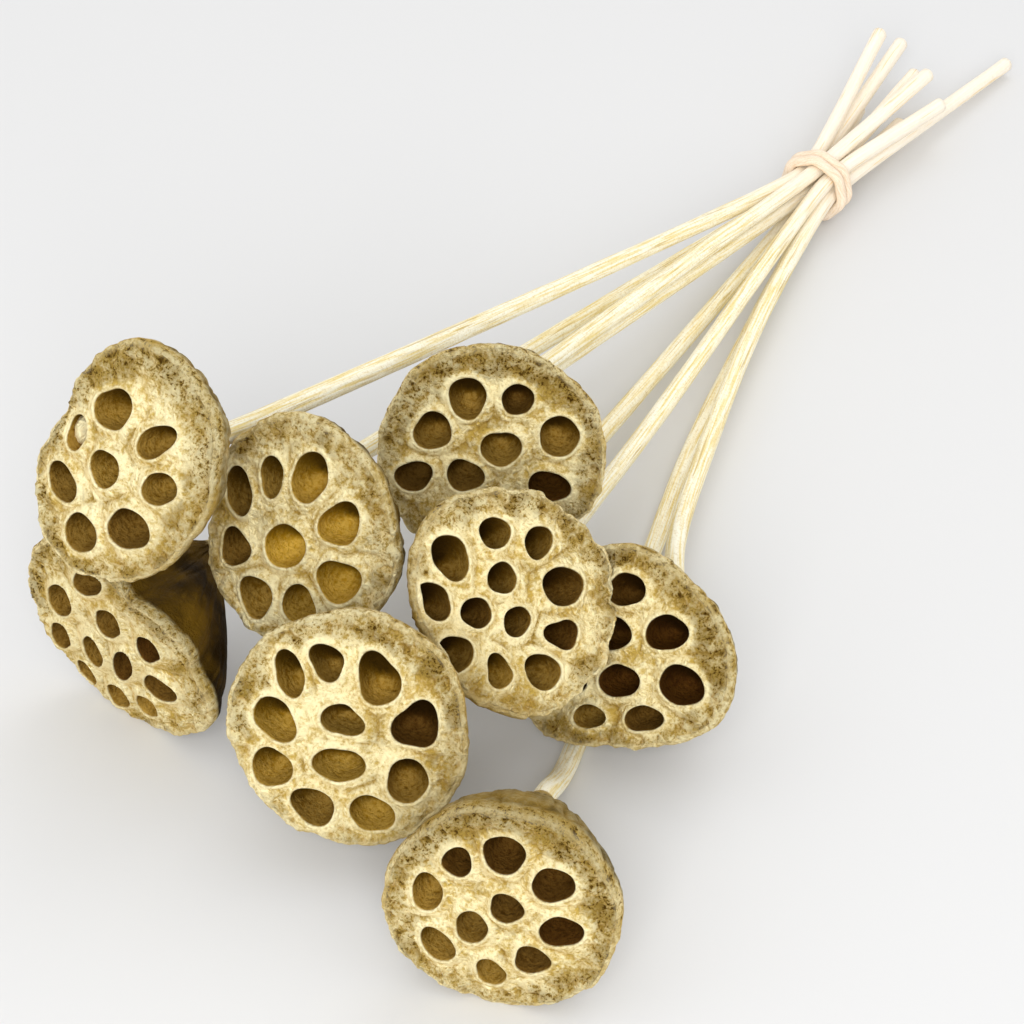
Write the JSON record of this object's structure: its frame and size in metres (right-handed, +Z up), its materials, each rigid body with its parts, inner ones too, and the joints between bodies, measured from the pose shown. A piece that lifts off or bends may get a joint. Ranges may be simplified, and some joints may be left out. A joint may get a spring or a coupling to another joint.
{
  "type": "tied bunch of dried lotus pods",
  "caption": "Gold-painted dried lotus seed pods on long stems, tied near the cut ends with a cream cord and lying on a surface.",
  "frame": {"origin": "middle of the footprint, on the surface that the bunch lies on", "axes": "+Z up, +Y from the pods towards the cut stem ends, +X across the bunch"},
  "size_m": [0.2292, 0.5576, 0.1493],
  "materials": {
    "gold_pod": "dried woody pod with a thin satin coat of gold paint",
    "cream_cord": "matt soft twine"
  },
  "bodies": {
    "root": {"lotus_pod_1": "gold_pod", "lotus_pod_2": "gold_pod", "lotus_pod_3": "gold_pod", "lotus_pod_4": "gold_pod", "lotus_pod_5": "gold_pod", "lotus_pod_6": "gold_pod", "lotus_pod_7": "gold_pod", "lotus_pod_8": "gold_pod", "tie_cord": "cream_cord"}
  },
  "joints": []
}
